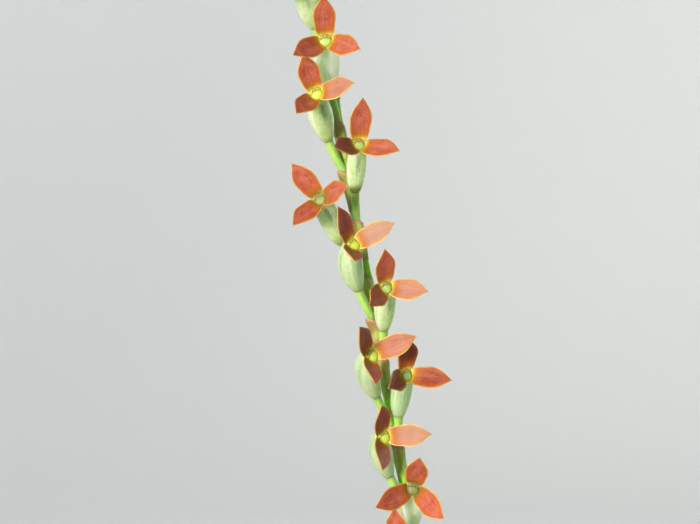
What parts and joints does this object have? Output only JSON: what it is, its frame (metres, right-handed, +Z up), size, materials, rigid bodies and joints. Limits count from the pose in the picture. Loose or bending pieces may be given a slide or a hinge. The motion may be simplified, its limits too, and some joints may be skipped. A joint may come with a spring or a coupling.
{
  "type": "potted stelis emarginata orchid",
  "caption": "Small tufted orchid in a plain clay pot of bark: slender stems with notched leathery leaves, and a leaning raceme of orange three-lobed flowers on pale green tubes.",
  "frame": {"origin": "middle of the pot's flat underside, on the surface that the pot stands on", "axes": "+Z up, and the longest extent, from the pot's underside to the raceme's tip; the flowers face -Y; +X is to the right of a viewer who faces the flowers"},
  "size_m": [0.1147, 0.0986, 0.3321],
  "materials": {
    "terracotta": "matte",
    "bark": "matte",
    "dry_sheath": "matte",
    "leaf": "satin",
    "flower_stalk": "satin",
    "sepal_tube": "satin",
    "sepal_lobe": "satin"
  },
  "bodies": {
    "root": {"pot": "terracotta", "bark_mix": "bark", "rhizome_with_sheaths": "dry_sheath", "leafy_stem_1": "leaf", "leafy_stem_2": "leaf", "leafy_stem_3": "leaf", "leafy_stem_4": "leaf", "leafy_stem_5": "leaf", "leafy_stem_6": "leaf", "leafy_stem_7": "leaf", "leafy_stem_8": "leaf", "raceme_stalk": "flower_stalk", "bloom_01_tube": "sepal_tube", "bloom_01_lobes": "sepal_lobe", "bloom_02_tube": "sepal_tube", "bloom_02_lobes": "sepal_lobe", "bloom_03_tube": "sepal_tube", "bloom_03_lobes": "sepal_lobe", "bloom_04_tube": "sepal_tube", "bloom_04_lobes": "sepal_lobe", "bloom_05_tube": "sepal_tube", "bloom_05_lobes": "sepal_lobe", "bloom_06_tube": "sepal_tube", "bloom_06_lobes": "sepal_lobe", "bloom_07_tube": "sepal_tube", "bloom_07_lobes": "sepal_lobe", "bloom_08_tube": "sepal_tube", "bloom_08_lobes": "sepal_lobe", "bloom_09_tube": "sepal_tube", "bloom_09_lobes": "sepal_lobe", "bloom_10_tube": "sepal_tube", "bloom_10_lobes": "sepal_lobe", "bloom_11_tube": "sepal_tube", "bloom_11_lobes": "sepal_lobe", "bloom_12_tube": "sepal_tube", "bloom_12_lobes": "sepal_lobe", "bloom_13_tube": "sepal_tube", "bloom_13_lobes": "sepal_lobe", "bloom_14_tube": "sepal_tube", "bloom_14_lobes": "sepal_lobe", "bloom_15_tube": "sepal_tube", "bloom_15_lobes": "sepal_lobe", "bloom_16_tube": "sepal_tube", "bloom_16_lobes": "sepal_lobe", "bloom_17_tube": "sepal_tube", "bloom_17_lobes": "sepal_lobe", "bloom_18_tube": "sepal_tube", "bloom_18_lobes": "sepal_lobe", "bloom_19_tube": "sepal_tube", "bloom_19_lobes": "sepal_lobe", "bloom_20_tube": "sepal_tube", "bloom_20_lobes": "sepal_lobe", "bloom_21_tube": "sepal_tube", "bloom_21_lobes": "sepal_lobe"}
  },
  "joints": []
}
